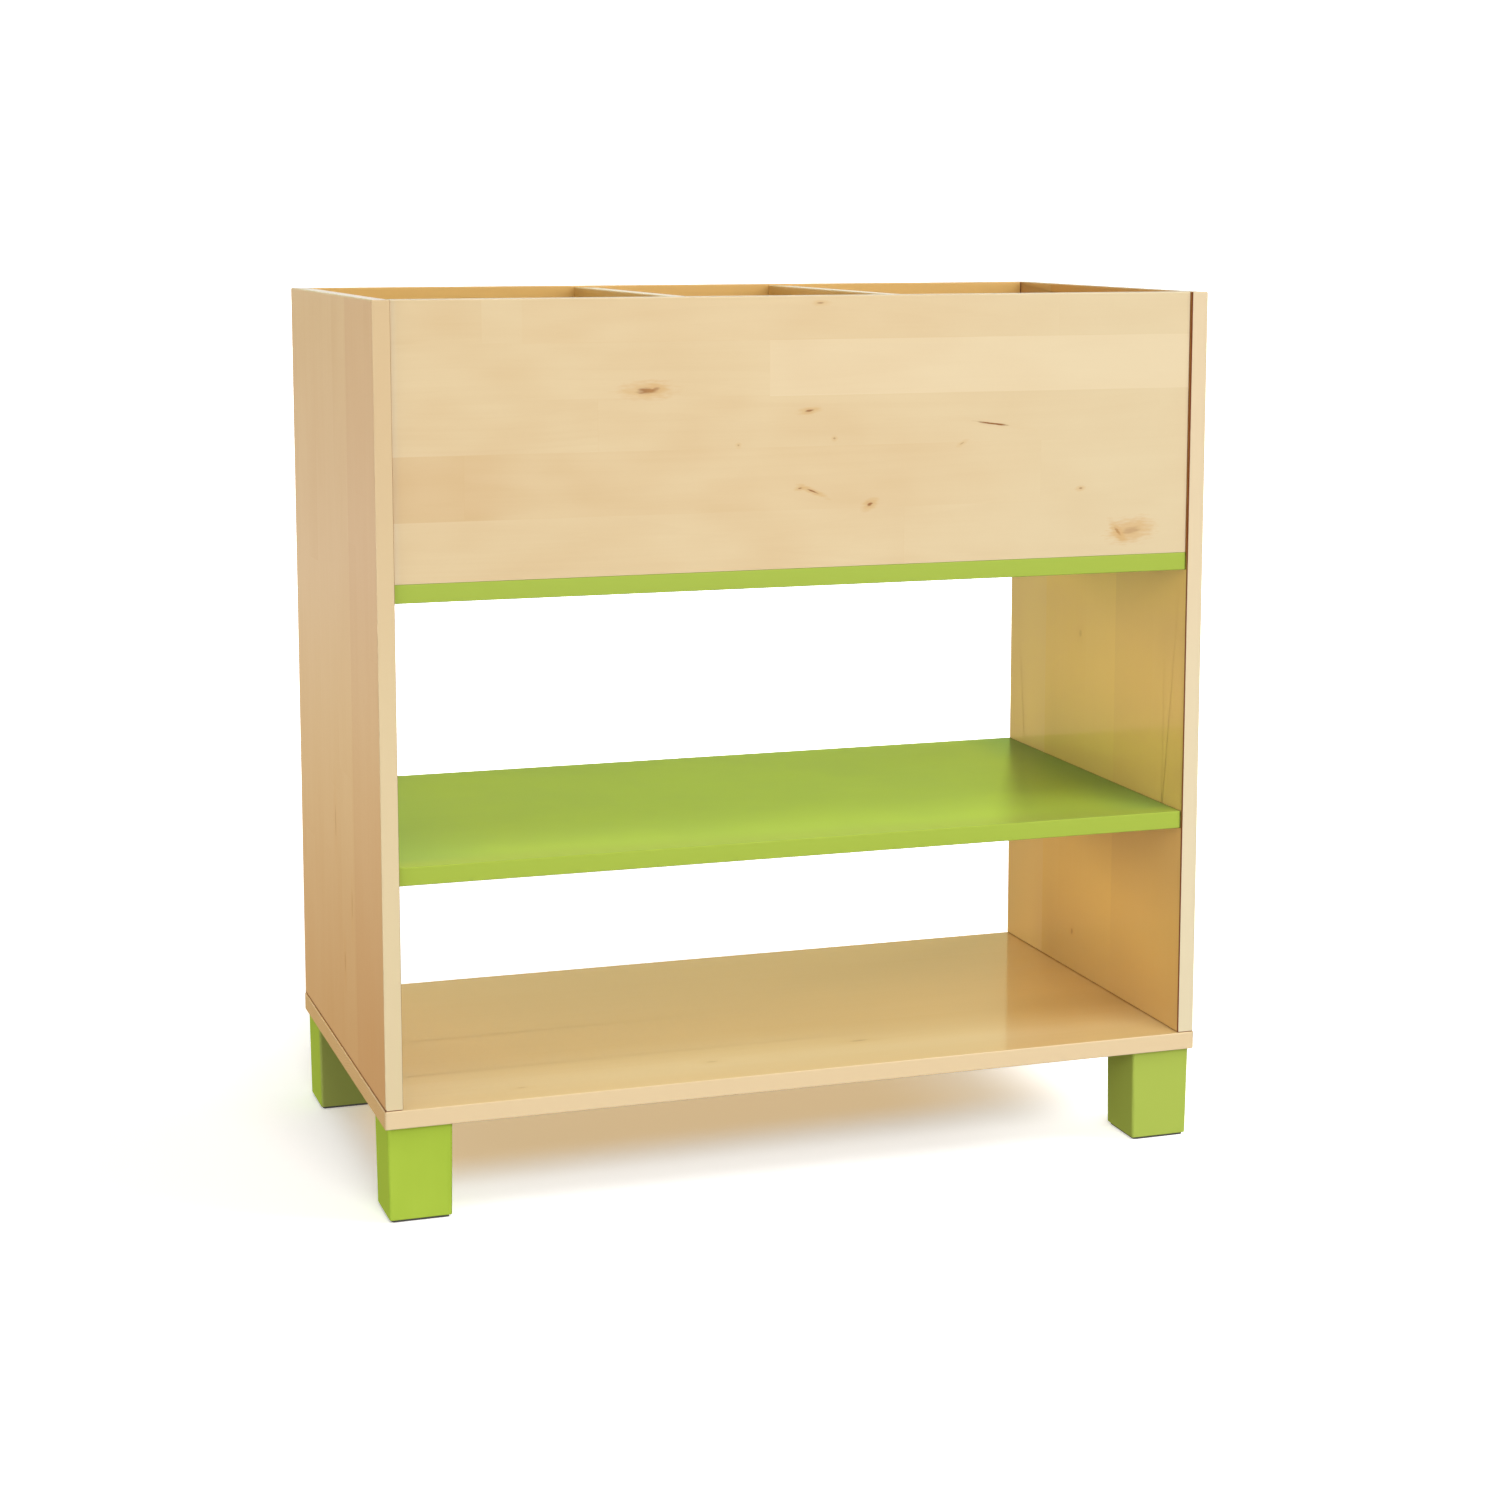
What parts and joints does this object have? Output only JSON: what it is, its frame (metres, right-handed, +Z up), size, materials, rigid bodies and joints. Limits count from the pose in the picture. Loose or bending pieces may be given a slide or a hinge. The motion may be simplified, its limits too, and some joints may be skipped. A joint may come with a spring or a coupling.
{
  "type": "kids bookcase",
  "caption": "Low children's bookcase on four square legs, with an open shelf cabinet and a divided book box on top.",
  "frame": {"origin": "on the floor, under the middle of the bookcase: the bottom centre of its bounding box", "axes": "+X to the right as seen from the front, +Y to the back, +Z up; the front faces -Y"},
  "size_m": [0.902, 0.47, 0.93],
  "materials": {
    "clear_lacquered_wood": "edge-glued light hardwood staves under a semi-gloss clear lacquer",
    "green_lacquered_wood": "opaque apple-green semi-gloss lacquer",
    "nylon_glide": "matt dark grey nylon",
    "zinc_plated_steel": "bright zinc plate",
    "cam_zinc": "die-cast zinc, satin",
    "dowel_wood": "bare beech"
  },
  "bodies": {
    "root": {"left_side_panel": "clear_lacquered_wood", "right_side_panel": "clear_lacquered_wood", "bottom_board": "clear_lacquered_wood", "middle_shelf": "green_lacquered_wood", "box_floor": "green_lacquered_wood", "box_front_panel": "clear_lacquered_wood", "box_back_panel": "clear_lacquered_wood", "left_divider": "clear_lacquered_wood", "right_divider": "clear_lacquered_wood", "front_left_leg": "green_lacquered_wood", "front_right_leg": "green_lacquered_wood", "rear_left_leg": "green_lacquered_wood", "rear_right_leg": "green_lacquered_wood", "front_left_glide": "nylon_glide", "front_right_glide": "nylon_glide", "rear_left_glide": "nylon_glide", "rear_right_glide": "nylon_glide", "glide_screws": "zinc_plated_steel", "hanger_bolts": "zinc_plated_steel", "threaded_inserts": "zinc_plated_steel", "leg_dowels": "dowel_wood", "base_screws": "zinc_plated_steel", "base_dowels": "dowel_wood", "shelf_cam_locks": "cam_zinc", "shelf_cam_bolts": "zinc_plated_steel", "shelf_dowels": "dowel_wood", "floor_cam_locks": "cam_zinc", "floor_cam_bolts": "zinc_plated_steel", "floor_dowels": "dowel_wood", "box_panel_dowels": "dowel_wood", "divider_dowels": "dowel_wood", "box_screws": "zinc_plated_steel", "divider_screws": "zinc_plated_steel"}
  },
  "joints": []
}
